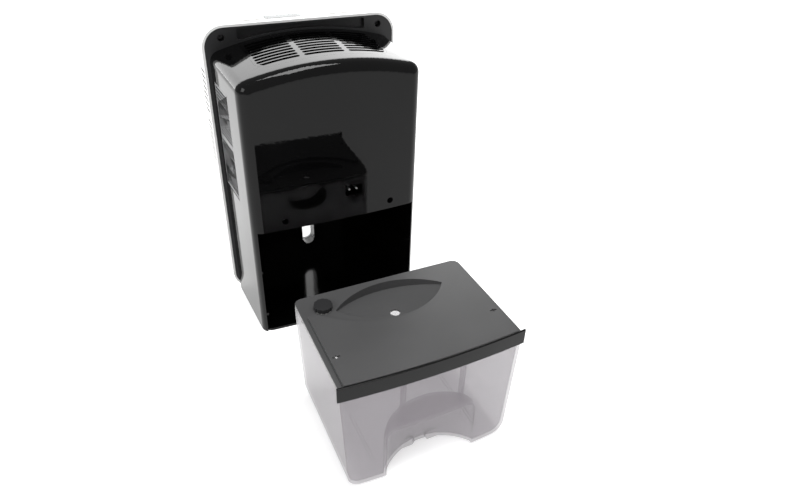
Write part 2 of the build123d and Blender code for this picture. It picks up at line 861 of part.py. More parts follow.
with BuildPart() as sink_screws:
    with BuildSketch(facing(bulkhead_y - cold_base)):
        with Locations(*sink_places):
            Circle(sink_head)
    extrude(amount=screw_head_height)
    with BuildSketch(facing(bulkhead_y - cold_base)):
        with Locations(*sink_places):
            Circle(screw_radius)
    extrude(amount=-sink_screw_length)
write(sink_screws, "sink_screws")

tray_front = joint_y + 1
tray_back = bulkhead_y - 1
tray_y = (tray_front + tray_back) / 2

with BuildPart() as drip_tray:
    with BuildSketch(Plane.XY.offset(liner_top)):
        with Locations((0, tray_y)):
            RectangleRounded(2 * tray_half, tray_back - tray_front, 3)
    extrude(amount=tray_height)
    with BuildSketch(Plane.XY.offset(liner_top + tray_wall)):
        with Locations((0, tray_y)):
            Rectangle(2 * (tray_half - tray_wall), tray_back - tray_front - 2 * tray_wall)
    extrude(amount=tray_height, mode=Mode.SUBTRACT)
    with BuildSketch(Plane.XY.offset(liner_top)):
        with Locations((0, spout_y)):
            Circle(spout_radius)
    extrude(amount=-(bay_wall + spout_drop))
    with BuildSketch(Plane.XY.offset(liner_top + tray_wall)):
        with Locations((0, spout_y)):
            Circle(spout_bore)
    extrude(amount=-(tray_wall + bay_wall + spout_drop), mode=Mode.SUBTRACT)
write(drip_tray, "drip_tray")

shelf_front = joint_y + 1
shelf_back = rear_y - body_corner

with BuildPart() as fan_shelf:
    with BuildSketch(Plane.XY.offset(shelf_low)):
        front_half, back_half = side_at(shelf_front, body_wall), side_at(shelf_back, body_wall)
        with BuildLine():
            Polyline(
                (-back_half, shelf_back), (-front_half, shelf_front), (front_half, shelf_front),
                (back_half, shelf_back), close=True,
            )
        make_face()
        with Locations((0, fan_y)):
            Circle(fan_bore, mode=Mode.SUBTRACT)
    extrude(amount=shelf_thickness)
write(fan_shelf, "fan_shelf")

fan_hole_pitch = 71.5
hub_low = shelf_top + fan_mount + 1

with BuildPart() as fan_frame:
    with BuildSketch(Plane.XY.offset(shelf_top)):
        with Locations((0, fan_y)):
            RectangleRounded(fan_size, fan_size, 5)
            Circle(fan_bore, mode=Mode.SUBTRACT)
            with GridLocations(fan_hole_pitch, fan_hole_pitch, 2, 2):
                Circle(2.2, mode=Mode.SUBTRACT)
    extrude(amount=fan_height)
    with BuildSketch(Plane.XY.offset(shelf_top)):
        with Locations((0, fan_y)):
            Circle(hub_radius)
            with PolarLocations(0, 4, start_angle=45):
                with Locations((fan_bore / 2, 0)):
                    Rectangle(fan_bore + 1, 4)
            Circle(fan_shaft + running_clearance, mode=Mode.SUBTRACT)
    extrude(amount=fan_mount)
write(fan_frame, "fan_frame")

with BuildPart() as fan_rotor:
    with BuildSketch(Plane.XY.offset(hub_low)):
        with Locations((0, fan_y)):
            Circle(hub_radius)
    extrude(amount=hub_height)
    fillet(fan_rotor.faces().sort_by(Axis.Z)[-1].edges(), 1.5)
    with BuildSketch(Plane.XY.offset(shelf_top + 0.5)):
        with Locations((0, fan_y)):
            Circle(fan_shaft)
    extrude(amount=fan_mount + 1)
    with Locations((0, fan_y, hub_low + hub_height / 2)):
        with PolarLocations(0, blade_count):
            blade_length = blade_reach - hub_radius + 1
            with Locations(Location((blade_reach - blade_length / 2, 0, 0), (blade_pitch_angle, 0, 0))):
                Box(blade_length, blade_chord, blade_thickness)
write(fan_rotor, "fan_rotor")

# ---------------------------------------------------------------- electronics

with BuildPart() as control_board:
    with BuildSketch(facing(cover_inner_y + chip_post_length + board_thickness)):
        with Locations((chip_board_x, chip_board_z)):
            Rectangle(chip_board_width, chip_board_height)
    extrude(amount=board_thickness)
write(control_board, "control_board")

chip_y = cover_inner_y + chip_post_length + board_thickness
with BuildPart() as board_components:
    for dx, dz, across, tall, deep in (
        (-14, 18, 16, 16, 2.5),
        (12, 24, 10, 8, 2.0),
        (14, -6, 18, 14, 10.0),
        (-16, -10, 12, 8, 6.0),
        (-6, -32, 30, 9, 8.0),
    ):
        with BuildSketch(facing(chip_y)):
            with Locations((chip_board_x + dx, chip_board_z + dz)):
                Rectangle(across, tall)
        extrude(amount=-deep)
write(board_components, "board_components")

power_board_z = liner_top + power_post_height

with BuildPart() as power_board:
    with BuildSketch(Plane.XY.offset(power_board_z)):
        with Locations((power_board_x, power_board_y)):
            Rectangle(power_board_width, power_board_length)
    extrude(amount=board_thickness)
write(power_board, "power_board")

with BuildPart() as power_transformer:
    with BuildSketch(Plane.XY.offset(power_board_z + board_thickness)):
        with Locations((power_board_x + 3, power_board_y + 5)):
            Rectangle(22, 18)
    extrude(amount=16)
    chamfer(power_transformer.faces().sort_by(Axis.Z)[-1].edges(), 1)
write(power_transformer, "power_transformer")

with BuildPart() as power_capacitors:
    with BuildSketch(Plane.XY.offset(power_board_z + board_thickness)):
        with Locations((power_board_x - 9, power_board_y - 10), (power_board_x + 5, power_board_y - 10)):
            Circle(5)
    extrude(amount=18)
write(power_capacitors, "power_capacitors")

sensor_y = rear_y - float_from_face

with BuildPart() as level_sensor:
    with BuildSketch(Plane.XY.offset(liner_top)):
        with Locations((float_x, sensor_y)):
            RectangleRounded(26, 9, 2)
    extrude(amount=5)
write(level_sensor, "level_sensor")

# ---------------------------------------------------------------- controls

button_top = height + button_proud
lip_top = cover_inner_top - 0.15
lip_low = lip_top - button_lip
stem_low = board_top + switch_height + button_travel + 0.2


def button(x, length):
    with BuildPart() as key:
        with BuildSketch(Plane.XY.offset(lip_low)):
            control_window(x, length, button_lip)
        extrude(amount=lip_top - lip_low)
        with BuildSketch(Plane.XY.offset(lip_low)):
            control_window(x, length, 0)
        extrude(amount=button_top - lip_low)
        fillet(key.faces().sort_by(Axis.Z)[-1].edges(), button_proud)
        with BuildSketch(Plane.XY.offset(lip_low)):
            with Locations((x, control_y)):
                Circle(2)
        extrude(amount=stem_low - lip_low)
    return key


write(button(power_x, power_width), "power_button")
write(button(mode_x, mode_width), "mode_button")

with BuildPart() as display_lens:
    with BuildSketch(Plane.XY.offset(cover_inner_top)):
        control_window(display_x, display_width, 0)
    extrude(amount=cover_wall)
    with BuildSketch(Plane.XY.offset(cover_inner_top)):
        control_window(display_x, display_width, button_lip)
    extrude(amount=-button_lip)
write(display_lens, "display_lens")

board_end = 4.0
with BuildPart() as button_board:
    with BuildSketch(Plane.XY.offset(board_top)):
        with Locations(((board_post_x[0] + board_post_x[1]) / 2, control_y)):
            Rectangle(board_post_x[0] - board_post_x[1] + 2 * board_end, control_length)
    extrude(amount=-board_thickness)
write(button_board, "button_board")

with BuildPart() as button_switches:
    with BuildSketch(Plane.XY.offset(board_top)):
        with Locations((power_x, control_y), (mode_x, control_y)):
            Rectangle(switch_size, switch_size)
    extrude(amount=switch_height)
write(button_switches, "button_switches")

led_pitch = 13.0
with BuildPart() as indicator_lamps:
    with BuildSketch(Plane.XY.offset(board_top)):
        with Locations((display_x, control_y)):
            with GridLocations(led_pitch, 1, 3, 1):
                Circle(1.5)
    extrude(amount=2)
    fillet(indicator_lamps.faces().filter_by(Axis.Z).group_by(Axis.Z)[-1].edges(), 1)
write(indicator_lamps, "indicator_lamps")

# ---------------------------------------------------------------- water tank


def side_half(z):
    # half the tank's width at this height
    return base_half + tank_taper * (z - tank_base) / (rim_z - tank_base)


def tank_plan(inset):
    # the tank's outline seen from above, drawn in by inset all round
    half = rim_half - inset
    front = face_y - inset
    back = tank_back + inset
    with BuildSketch() as plan:
        with BuildLine():
            Polyline((-half, front), (-half, back), (half, back), (half, front))
            ThreePointArc((half, front), (0, front + face_bulge), (-half, front))
        make_face()
        fillet(plan.vertices().group_by(Axis.Y)[0], max(tank_back_corner - inset, 1))
    return plan.sketch


def tank_block(inset, high):
    low = tank_base + inset
    top_half = side_half(high) - inset
    low_half = side_half(low) - inset
    far = face_y + 2 * face_bulge
    with BuildPart() as block:
        with BuildSketch(facing(far)) as outline:
            with BuildLine():
                Polyline(
                    (-top_half, high), (-low_half, low), (low_half, low), (top_half, high), close=True
                )
            make_face()
            fillet(outline.vertices().group_by(Axis.Y)[0], tank_corner - inset)
        extrude(amount=far - tank_back - inset)
        with BuildSketch(Plane.XY.offset(low - 1)):
            add(tank_plan(inset))
        extrude(amount=high - low + 2, mode=Mode.INTERSECT)
    return block.part


grip_radius = (grip_half**2 + grip_depth**2) / (2 * grip_depth)
grip_centre_y = face_y - grip_depth + grip_radius


def grip_pocket(grow):
    # finger pocket at the foot of the tank's face: an arch with a round back
    with BuildPart() as pocket:
        with BuildSketch(facing(face_y + 2 * face_bulge)) as arch:
            with Locations((0, tank_base + grip_height / 2)):
                Rectangle(2 * (grip_half + grow), grip_height + 2 * grow)
            fillet(arch.vertices().group_by(Axis.Y)[-1], grip_round + grow)
        extrude(amount=2 * face_bulge + grip_depth + grow)
        with BuildSketch(Plane.XY.offset(tank_base - 5)):
            with Locations((0, grip_centre_y)):
                Circle(grip_radius + grow)
        extrude(amount=grip_height + 20, mode=Mode.INTERSECT)
    return pocket.part


with BuildPart() as grip_shell:
    add(grip_pocket(tank_wall))
    add(tank_block(0, rim_z), mode=Mode.INTERSECT)

runner_x = 56.0
runner_width = 7.0
runner_depth = 1.4
runner_front = 12.0
runner_back = 14.0
rib_x = 30.0
rib_width = 4.0
rib_depth = 3.0
rib_top_gap = 8.0
bump_x = 13.0
bump_radius = 7.0
bump_lift = 5.0
bump_reach = 1.8
recess_half = 25.0
recess_rise = 24.0
recess_top_gap = 12.0
recess_depth = 3.0
bump_y = grip_centre_y - sqrt(grip_radius**2 - bump_x**2)


def runner(width_now):
    length = tank_depth - runner_front - runner_back + width_now - runner_width
    middle = (face_y - runner_front + tank_back + runner_back) / 2
    with Locations((-runner_x, middle), (runner_x, middle)):
        SlotOverall(length, width_now, rotation=90)


def back_recess(grow):
    # upright sight panel set into the tank's far wall
    low = tank_base + recess_rise - grow
    high = rim_z - recess_top_gap + grow
    with BuildPart() as recess:
        with BuildSketch(facing(tank_back + recess_depth + grow)):
            with Locations((0, (low + high) / 2)):
                RectangleRounded(2 * (recess_half + grow), high - low, 4 + grow)
        extrude(amount=recess_depth + grow)
    return recess.part


with BuildPart() as tank_bucket:
    add(tank_block(0, rim_z))
    add(tank_block(tank_wall, rim_z + 2), mode=Mode.SUBTRACT)
    add(grip_shell.part)
    add(back_recess(tank_wall))
    with BuildSketch(Plane.XY.offset(tank_base)):
        runner(runner_width + 2 * tank_wall)
    extrude(amount=runner_depth + tank_wall)
    # upright ribs behind the face
    rib_low = tank_base + grip_height + tank_wall
    with BuildSketch(facing(face_y + tank_wall / 2)):
        with Locations((0, (rib_low + rim_z - rib_top_gap) / 2)):
            with GridLocations(2 * rib_x, 1, 2, 1):
                Rectangle(rib_width, rim_z - rib_top_gap - rib_low)
    extrude(amount=tank_wall / 2 + rib_depth)
    add(grip_pocket(0), mode=Mode.SUBTRACT)
    with BuildSketch(Plane.XY.offset(tank_base)):
        runner(runner_width)
    extrude(amount=runner_depth, mode=Mode.SUBTRACT)
    # two finger bumps on the pocket's back
    with BuildSketch(facing(bump_y + bump_reach)):
        with Locations((-bump_x, tank_base + bump_lift), (bump_x, tank_base + bump_lift)):
            Circle(bump_radius)
        with Locations((0, tank_base + grip_height / 2)):
            Rectangle(2 * grip_half, grip_height, mode=Mode.INTERSECT)
    extrude(amount=bump_reach + tank_wall / 2)
    add(back_recess(0), mode=Mode.SUBTRACT)
write(tank_bucket, "tank_bucket")

trim_half = bay_half - trim_gap
trim_low = lid_top - trim_height
face_radius = (rim_half**2 + face_bulge**2) / (2 * face_bulge)
face_centre_y = face_y + face_bulge - face_radius


def face_arc(grow, half):
    # Y of the tank's face, moved outward by grow, this far from the middle
    return face_centre_y + sqrt((face_radius + grow) ** 2 - half**2)


with BuildPart() as tank_trim:
    with BuildSketch(Plane.XY.offset(trim_low)):
        with BuildLine():
            near = face_arc(rest_gap, trim_half)
            far = face_arc(trim_thickness, trim_half)
            ThreePointArc((-trim_half, near), (0, face_arc(rest_gap, 0)), (trim_half, near))
            Line((trim_half, near), (trim_half, far))
            ThreePointArc((trim_half, far), (0, face_arc(trim_thickness, 0)), (-trim_half, far))
            Line((-trim_half, far), (-trim_half, near))
        make_face()
    extrude(amount=trim_height)
    fillet(tank_trim.edges().filter_by(Axis.Z).group_by(Axis.Y)[-1], 1)
write(tank_trim, "tank_trim")

lid_half = rim_half - lid_clearance
plateau_half = rim_half - lid_margin
bend_half = 68.0
bend_out = 86.0
bend_corner = 77.0


lid_face_radius = (lid_half**2 + face_bulge**2) / (2 * face_bulge)
lid_face_centre = face_y - lid_clearance + face_bulge - lid_face_radius


def lid_front(inset, half):
    # Y of the lid's front edge, drawn in by inset, this far from the middle
    return lid_face_centre + sqrt((lid_face_radius - inset) ** 2 - half**2)


def plateau(inset):
    # outline of the raised front part of the lid
    half = plateau_half - inset
    front = lid_front(inset, half)
    side = face_y - step_side + inset
    bend_y = face_y - bend_out + 0.7 * inset
    bend_x = bend_half - 0.7 * inset
    turn_x = bend_corner - 0.7 * inset
    with BuildSketch() as outline:
        with BuildLine():
            Polyline((bend_x, bend_y), (turn_x, side), (half, side), (half, front))
            ThreePointArc((half, front), (0, lid_front(inset, 0)), (-half, front))
            Polyline((-half, front), (-half, side), (-turn_x, side), (-bend_x, bend_y))
            ThreePointArc((-bend_x, bend_y), (0, face_y - step_middle + inset), (bend_x, bend_y))
        make_face()
    return outline.sketch


def lens(grow):
    # pointed oval of the drip bowl
    tip = bowl_half + 2 * grow
    tip_y = face_y - bowl_tip
    with BuildSketch() as outline:
        with BuildLine():
            ThreePointArc((-tip, tip_y), (0, face_y - bowl_front + grow), (tip, tip_y))
            ThreePointArc((tip, tip_y), (0, face_y - bowl_back - grow), (-tip, tip_y))
        make_face()
    return outline.sketch


bowl_reach = bowl_half + bowl_tip_wall
bowl_radius = (bowl_reach**2 + bowl_depth**2) / (2 * bowl_depth)
bowl_centre_z = lid_plate_top - bowl_depth + bowl_radius
bowl_y = face_y - (bowl_front + bowl_back) / 2


def bowl(grow):
    with BuildPart() as dish:
        with BuildSketch(Plane.XY.offset(lid_plate_top)):
            add(lens(grow))
        extrude(amount=-(bowl_depth + 2 * grow + 1))
        with Locations((0, bowl_y, bowl_centre_z)):
            Sphere(bowl_radius + grow, mode=Mode.INTERSECT)
    return dish.part


notch_x = 79.0
notch_from_face = 34.0

with BuildPart() as tank_lid:
    with BuildSketch(Plane.XY.offset(lid_low)):
        add(tank_plan(lid_clearance))
    extrude(amount=lid_wall)
    with BuildSketch(Plane.XY.offset(lid_low)):
        add(plateau(0))
    extrude(amount=lid_top - lid_low)
    with BuildSketch(Plane.XY.offset(lid_low)):
        add(plateau(lid_wall))
    extrude(amount=lid_step, mode=Mode.SUBTRACT)
    # skirt that fits inside the tank's rim
    with BuildSketch(Plane.XY.offset(lid_low - skirt_depth)):
        add(tank_plan(tank_wall + skirt_gap))
        add(tank_plan(tank_wall + skirt_gap + lid_wall), mode=Mode.SUBTRACT)
    extrude(amount=skirt_depth + lid_wall / 2)
    add(bowl(lid_wall))
    add(bowl(0), mode=Mode.SUBTRACT)
    # drain hole, overflow slot and vent in the bowl, opening for the cap, latch notches
    with BuildSketch(Plane.XY.offset(lid_top)):
        with Locations((0, face_y - drain_from_face)):
            Circle(drain_radius)
        with Locations((0, face_y - drain_from_face + drain_radius + 3)):
            Rectangle(6, 1.4)
        with Locations((cap_x, face_y - cap_from_face)):
            Circle(plug_radius + plug_clearance)
        for x in (-notch_x, notch_x):
            with Locations((x, face_y - notch_from_face)):
                Rectangle(7, 1.6)
                Rectangle(1.6, 4)
    extrude(amount=-(bowl_depth + lid_step + 2 * lid_wall), mode=Mode.SUBTRACT)
write(tank_lid, "tank_lid")

with BuildPart() as lid_seal:
    with BuildSketch(Plane.XY.offset(rim_z + rest_gap)):
        add(tank_plan(lid_clearance))
        add(tank_plan(tank_wall), mode=Mode.SUBTRACT)
    extrude(amount=lid_seal_height)
write(lid_seal, "lid_seal")

cap_low = lid_plate_top + rest_gap + cap_seal_height
cap_top = lid_plate_top + cap_height

with BuildPart() as drain_cap:
    with BuildSketch(Plane.XY.offset(cap_low)):
        with Locations((cap_x, face_y - cap_from_face)):
            Circle(cap_radius)
            with PolarLocations(cap_radius + 0.7, 12):
                Circle(1.2, mode=Mode.SUBTRACT)
    extrude(amount=cap_top - cap_low)
    with BuildSketch(Plane.XY.offset(cap_low)):
        with Locations((cap_x, face_y - cap_from_face)):
            Circle(plug_radius)
    extrude(amount=-plug_length)
    chamfer(drain_cap.faces().sort_by(Axis.Z)[0].edges(), 0.6)
write(drain_cap, "drain_cap")

with BuildPart() as cap_seal:
    with BuildSketch(Plane.XY.offset(cap_low)):
        with Locations((cap_x, face_y - cap_from_face)):
            Circle(cap_radius - 0.6)
            Circle(plug_radius + fit_gap, mode=Mode.SUBTRACT)
    extrude(amount=-cap_seal_height)
write(cap_seal, "cap_seal")

cage_inner = float_radius + float_clearance
cage_low = lid_low - float_height - float_rise - 2.6 - cage_wall
float_low = cage_low + cage_wall + 0.1

with BuildPart() as float_cage:
    with BuildSketch(Plane.XY.offset(cage_low)):
        with Locations((float_x, face_y - float_from_face)):
            Circle(cage_inner + cage_wall)
    extrude(amount=lid_low - cage_low)
    with BuildSketch(Plane.XY.offset(cage_low + cage_wall)):
        with Locations((float_x, face_y - float_from_face)):
            Circle(cage_inner)
    extrude(amount=lid_low - cage_low, mode=Mode.SUBTRACT)
    with BuildSketch(Plane.XY.offset(cage_low)):
        with Locations((float_x, face_y - float_from_face)):
            Circle(cage_inner - 3)
    extrude(amount=cage_wall, mode=Mode.SUBTRACT)
    # water slots through the cage's wall
    for turn in (0, 90):
        with BuildSketch(Plane.XY.offset(cage_low + 2 * cage_wall)):
            with Locations((float_x, face_y - float_from_face)):
                Rectangle(3 * cage_inner, 4, rotation=turn)
        extrude(amount=float_height + float_rise - 2 * cage_wall, mode=Mode.SUBTRACT)
write(float_cage, "float_cage")

with BuildPart() as tank_float:
    with BuildSketch(Plane.XY.offset(float_low)):
        with Locations((float_x, face_y - float_from_face)):
            Circle(float_radius)
    extrude(amount=float_height)
    with BuildSketch(Plane.XY.offset(float_low + float_height)):
        with Locations((float_x, face_y - float_from_face)):
            Circle(magnet_radius + rest_gap)
    extrude(amount=-magnet_height, mode=Mode.SUBTRACT)
write(tank_float, "tank_float")

with BuildPart() as float_magnet:
    with BuildSketch(Plane.XY.offset(float_low + float_height)):
        with Locations((float_x, face_y - float_from_face)):
            Circle(magnet_radius)
    extrude(amount=-magnet_height)
write(float_magnet, "float_magnet")
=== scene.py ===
import json
import math

import bpy
from mathutils import Matrix, Vector


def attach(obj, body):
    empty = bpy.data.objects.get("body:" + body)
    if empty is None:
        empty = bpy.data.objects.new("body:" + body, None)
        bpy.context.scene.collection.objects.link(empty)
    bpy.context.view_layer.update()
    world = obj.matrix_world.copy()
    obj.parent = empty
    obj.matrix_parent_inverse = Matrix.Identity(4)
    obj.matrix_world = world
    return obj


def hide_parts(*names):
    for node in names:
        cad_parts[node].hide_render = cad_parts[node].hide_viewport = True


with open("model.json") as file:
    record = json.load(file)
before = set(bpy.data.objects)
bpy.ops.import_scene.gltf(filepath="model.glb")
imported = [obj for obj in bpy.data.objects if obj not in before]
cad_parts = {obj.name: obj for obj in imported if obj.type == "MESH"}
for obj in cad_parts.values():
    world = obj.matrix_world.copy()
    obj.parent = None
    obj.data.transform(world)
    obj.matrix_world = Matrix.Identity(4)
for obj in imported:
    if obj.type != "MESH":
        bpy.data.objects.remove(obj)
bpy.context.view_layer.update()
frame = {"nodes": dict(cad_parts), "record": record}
nodes = frame["nodes"]
print("frame loaded:", len(nodes), "nodes")


class Signal:
    # a value in a material's nodes; the operators add Math nodes
    def __init__(self, sheet, socket):
        self.sheet = sheet
        self.socket = socket

    def maths(self, operation, first, second=0.0):
        return self.sheet.add("ShaderNodeMath", {"operation": operation}, {0: first, 1: second})

    def __add__(self, other):
        return self.maths("ADD", self, other)

    def __rsub__(self, other):
        return self.maths("SUBTRACT", other, self)

    def __mul__(self, other):
        return self.maths("MULTIPLY", self, other)

    def __pow__(self, other):
        return self.maths("POWER", self, other)


class Finish:
    # one material and the nodes that make it
    def __init__(self, name):
        self.material = bpy.data.materials.new(name)
        self.material.use_nodes = True
        self.tree = self.material.node_tree
        self.tree.nodes.clear()
        self.place = self.add("ShaderNodeTexCoord", out="Object")

    def add(self, kind, settings=None, sockets=None, out=0):
        node = self.tree.nodes.new(kind)
        for name, value in (settings or {}).items():
            if name == "stops":
                for stop, (spot, shade) in zip(node.color_ramp.elements, value):
                    stop.position = spot
                    stop.color = (shade, shade, shade, 1)
            else:
                setattr(node, name, value)
        for name, value in (sockets or {}).items():
            if isinstance(value, Signal):
                self.tree.links.new(value.socket, node.inputs[name])
            else:
                node.inputs[name].default_value = value
        return Signal(self, node.outputs[out])

    def noise(self, scale, detail=3.0, rough=0.5, stretch=None):
        spot = self.place
        if stretch:
            spot = self.add("ShaderNodeMapping", None, {"Vector": spot, "Scale": stretch})
        sockets = {"Vector": spot, "Scale": scale, "Detail": detail, "Roughness": rough}
        return self.add("ShaderNodeTexNoise", None, sockets, "Fac")

    def ramp(self, value, low, high):
        return self.add("ShaderNodeValToRGB", {"stops": ((low, 0.0), (high, 1.0))}, {"Fac": value})

    def blend(self, mask, first, second):
        # the colour mix of two plain colours
        sockets = {"Factor": mask, 6: (*first, 1), 7: (*second, 1)}
        return self.add("ShaderNodeMix", {"data_type": "RGBA"}, sockets, 2)

    def bump(self, height, strength, distance):
        sockets = {"Height": height, "Strength": strength, "Distance": distance}
        return self.add("ShaderNodeBump", None, sockets)

    def shader(self, colour, roughness, normal=None, **plain):
        sockets = {"Base Color": colour, "Roughness": roughness}
        if normal:
            sockets["Normal"] = normal
        for name, value in plain.items():
            sockets[name.replace("_", " ")] = value
        return self.add("ShaderNodeBsdfPrincipled", None, sockets)

    def output(self, surface):
        node = self.tree.nodes.new("ShaderNodeOutputMaterial")
        self.tree.links.new(surface.socket, node.inputs["Surface"])
        return self.material


# every moulded finish: its two shades, roughness range, scale of its grain and height of that grain
finishValues = {
    "whiteGloss": dict(light=(0.74, 0.74, 0.735), dark=(0.70, 0.70, 0.695), low=0.16, high=0.30,
                       grain=700, height=0.00004, IOR=1.45),
    "greyMoulding": dict(light=(0.42, 0.42, 0.43), dark=(0.34, 0.34, 0.35), low=0.4, high=0.55,
                         grain=900, height=0.0001, IOR=1.45),
    "meshGrey": dict(light=(0.26, 0.26, 0.265), dark=(0.19, 0.19, 0.195), low=0.35, high=0.5,
                     grain=1500, height=0.0001, IOR=1.4),
    "buttonGrey": dict(light=(0.58, 0.57, 0.55), dark=(0.54, 0.53, 0.51), low=0.25, high=0.35,
                       grain=900, height=0.00005, IOR=1.45),
    "rubber": dict(light=(0.035, 0.035, 0.036), dark=(0.02, 0.02, 0.02), low=0.6, high=0.8,
                   grain=1400, height=0.0002, IOR=1.4),
    "silicone": dict(light=(0.72, 0.72, 0.70), dark=(0.6, 0.6, 0.58), low=0.35, high=0.5,
                     grain=800, height=0.0001, IOR=1.4),
    "ceramic": dict(light=(0.82, 0.82, 0.80), dark=(0.74, 0.74, 0.72), low=0.4, high=0.6,
                    grain=1500, height=0.0001, IOR=1.5),
    "foam": dict(light=(0.20, 0.20, 0.21), dark=(0.10, 0.10, 0.11), low=0.85, high=0.95,
                 grain=2200, height=0.0006, IOR=1.3),
    "floatFoam": dict(light=(0.86, 0.85, 0.82), dark=(0.74, 0.73, 0.70), low=0.7, high=0.85,
                      grain=2500, height=0.0005, IOR=1.3),
    "component": dict(light=(0.06, 0.06, 0.062), dark=(0.03, 0.03, 0.03), low=0.4, high=0.6,
                      grain=1800, height=0.0001, IOR=1.45),
    "lamp": dict(light=(0.75, 0.80, 0.85), dark=(0.65, 0.70, 0.75), low=0.2, high=0.3,
                 grain=600, height=0.00003, IOR=1.5),
}


def plainFinish(name):
    # a moulded or pressed material with slight unevenness in shade, gloss and surface
    values = finishValues[name]
    sheet = Finish(name)
    cloudy = sheet.noise(14, 4)
    fine = sheet.noise(values["grain"], 2)
    colour = sheet.blend(cloudy, values["dark"], values["light"])
    spread = values["high"] - values["low"]
    roughness = cloudy * spread * 0.6 + fine * spread * 0.4 + values["low"]
    normal = sheet.bump(fine, 0.5, values["height"])
    return sheet.output(sheet.shader(colour, roughness, normal, IOR=values["IOR"]))


blackGlossValues = dict(deep=(0.0015, 0.0015, 0.0016), worn=(0.004, 0.004, 0.0042), base=0.035,
                        smear=0.05, scratch=0.08, ior=1.30)
bayBlackValues = dict(deep=(0.0008, 0.0008, 0.0008), worn=(0.002, 0.002, 0.002), base=0.09,
                      smear=0.06, scratch=0.08, ior=1.30)
lidBlackValues = dict(deep=(0.074, 0.074, 0.075), worn=(0.092, 0.092, 0.093), base=0.30,
                      smear=0.10, scratch=0.05, ior=1.28)
capBlackValues = dict(deep=(0.026, 0.026, 0.027), worn=(0.036, 0.036, 0.037), base=0.30,
                      smear=0.10, scratch=0.05, ior=1.25)


def blackGloss(name, values):
    # polished black moulding with faint wiping marks and hairline scratches
    sheet = Finish(name)
    cloudy = sheet.noise(9, 5)
    peel = sheet.noise(160, 2)
    hair = sheet.ramp(sheet.noise(1, 6, 0.7, (40, 900, 700)), 0.62, 0.70)
    cross = sheet.ramp(sheet.noise(1, 6, 0.7, (800, 60, 900)), 0.64, 0.72)
    marks = sheet.add("ShaderNodeMath", {"operation": "MAXIMUM"}, {0: hair, 1: cross})
    smear = sheet.ramp(cloudy, 0.45, 0.75)
    colour = sheet.blend(smear * 0.6 + marks * 0.3, values["deep"], values["worn"])
    roughness = smear * values["smear"] + marks * values["scratch"] * smear + values["base"]
    normal = sheet.bump(peel, 0.12, 0.0002)
    return sheet.output(sheet.shader(colour, roughness, normal, IOR=values["ior"]))


blackSatinValues = dict(light=(0.016, 0.016, 0.017), dark=(0.009, 0.009, 0.0095),
                        low=0.28, high=0.42)


def blackSatin():
    # black moulding with a fine spark-eroded texture
    sheet = Finish("blackSatin")
    values = blackSatinValues
    cloudy = sheet.noise(12, 4)
    grain = sheet.noise(1500, 2)
    colour = sheet.blend(cloudy, values["dark"], values["light"])
    roughness = cloudy * (values["high"] - values["low"]) + grain * 0.06 + values["low"]
    normal = sheet.bump(grain, 0.35, 0.0001)
    return sheet.output(sheet.shader(colour, roughness, normal, IOR=1.4))


smokyValues = dict(tint=(0.34, 0.31, 0.34), edge=(0.03, 0.028, 0.03), film=0.27, rim=0.75,
                   sharpness=5.0)


def smokyPlastic():
    # smoke-tinted clear moulding: thin where seen square on, dense along its edges
    sheet = Finish("smokyPlastic")
    values = smokyValues
    cloudy = sheet.noise(10, 3)
    facing = sheet.add("ShaderNodeLayerWeight", None, {"Blend": 0.5}, "Facing")
    flow = sheet.noise(1, 3, 0.5, (30, 30, 6))
    glancing = facing ** values["sharpness"]
    colour = sheet.blend(glancing, values["tint"], values["edge"])
    alpha = glancing * values["rim"] + cloudy * 0.04 + values["film"]
    normal = sheet.bump(flow, 0.15, 0.0004)
    body = sheet.shader(colour, cloudy * 0.05 + 0.06, normal, IOR=1.45, Alpha=alpha)
    return sheet.output(body)


def clearPlastic():
    sheet = Finish("clearPlastic")
    cloudy = sheet.noise(20, 3)
    facing = sheet.add("ShaderNodeLayerWeight", None, {"Blend": 0.5}, "Facing")
    colour = sheet.blend(cloudy, (0.80, 0.83, 0.85), (0.88, 0.90, 0.92))
    alpha = facing ** 3.0 * 0.5 + cloudy * 0.03 + 0.10
    return sheet.output(sheet.shader(colour, cloudy * 0.04 + 0.04, None, IOR=1.45, Alpha=alpha))


metalValues = {
    "zincSteel": dict(light=(0.56, 0.56, 0.57), dark=(0.40, 0.41, 0.43), low=0.25, high=0.42,
                      stretch=(900, 60, 900)),
    "brassPin": dict(light=(0.80, 0.68, 0.42), dark=(0.60, 0.48, 0.26), low=0.18, high=0.32,
                     stretch=(700, 60, 700)),
    "aluminium": dict(light=(0.80, 0.81, 0.82), dark=(0.66, 0.67, 0.69), low=0.25, high=0.40,
                      stretch=(900, 900, 30)),
}


def metal(name):
    # bare metal with drawn lines and slight tarnish
    values = metalValues[name]
    sheet = Finish(name)
    tarnish = sheet.noise(40, 4)
    lines = sheet.noise(1, 3, 0.6, values["stretch"])
    colour = sheet.blend(tarnish * 0.7 + lines * 0.3, values["dark"], values["light"])
    roughness = lines * (values["high"] - values["low"]) + values["low"]
    normal = sheet.bump(lines, 0.2, 0.00005)
    return sheet.output(sheet.shader(colour, roughness, normal, Metallic=1.0))


